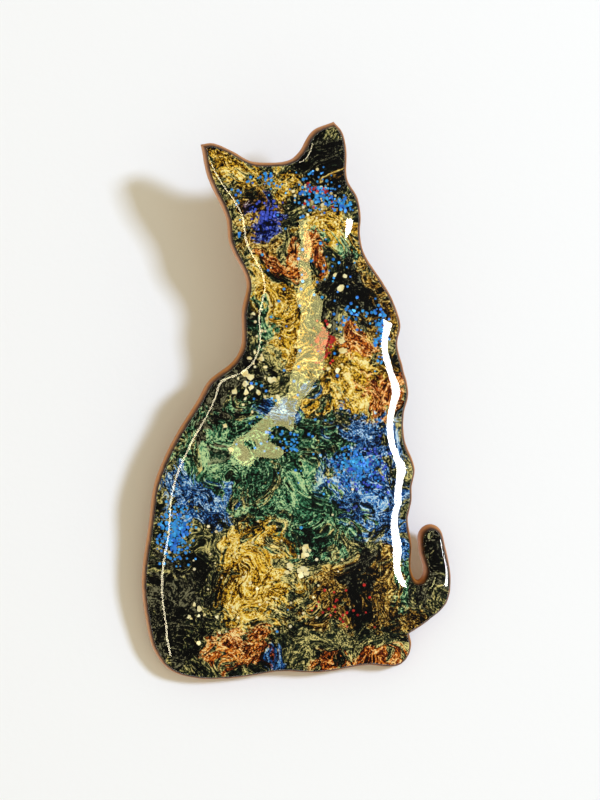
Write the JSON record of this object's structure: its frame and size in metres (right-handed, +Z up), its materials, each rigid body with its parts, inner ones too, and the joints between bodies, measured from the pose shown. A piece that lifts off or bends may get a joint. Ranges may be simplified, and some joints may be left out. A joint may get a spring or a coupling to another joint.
{
  "type": "brooch",
  "caption": "Seated cat brooch: marbled paint under a domed clear resin on a hand-cut blank, with a hinged pin and a turning safety catch on the back.",
  "frame": {"origin": "middle of the closed pin stem, where the garment holds the brooch", "axes": "+Z up the cat's height from base to ears, +Y out of the back towards the garment, so the decorated front faces -Y; +X runs along the stem from its hinge to its catch"},
  "size_m": [0.0421, 0.0092, 0.0753],
  "materials": {
    "sealed_board": "bronze-brown sealing paint, satin",
    "acrylic_skin": "poured marbled acrylic with glitter and leaf",
    "clear_epoxy": "clear, domed, very glossy",
    "cured_glue": "cured amber glue",
    "plated_steel": "nickel plated, bright",
    "steel_wire": "drawn and ground"
  },
  "bodies": {
    "root": {"base_blank": "sealed_board", "paint_skin": "acrylic_skin", "resin_dome": "clear_epoxy", "adhesive_pad": "cured_glue", "brooch_bar": "plated_steel", "hinge_rivet": "plated_steel", "catch_housing": "plated_steel"},
    "stem": {"pin_stem": "steel_wire"},
    "lock": {"lock_roller": "plated_steel"}
  },
  "joints": [
    {"name": "pin_swing", "type": "hinge", "parent": "root", "child": "stem", "pos_m": [-0.0085, 0, 0], "axis": [0, 0, 1], "range_deg": [0, 100]},
    {"name": "lock_turn", "type": "hinge", "parent": "root", "child": "lock", "pos_m": [0.0083, 0, 0], "axis": [1, 0, 0], "range_deg": [0, 110]}
  ]
}
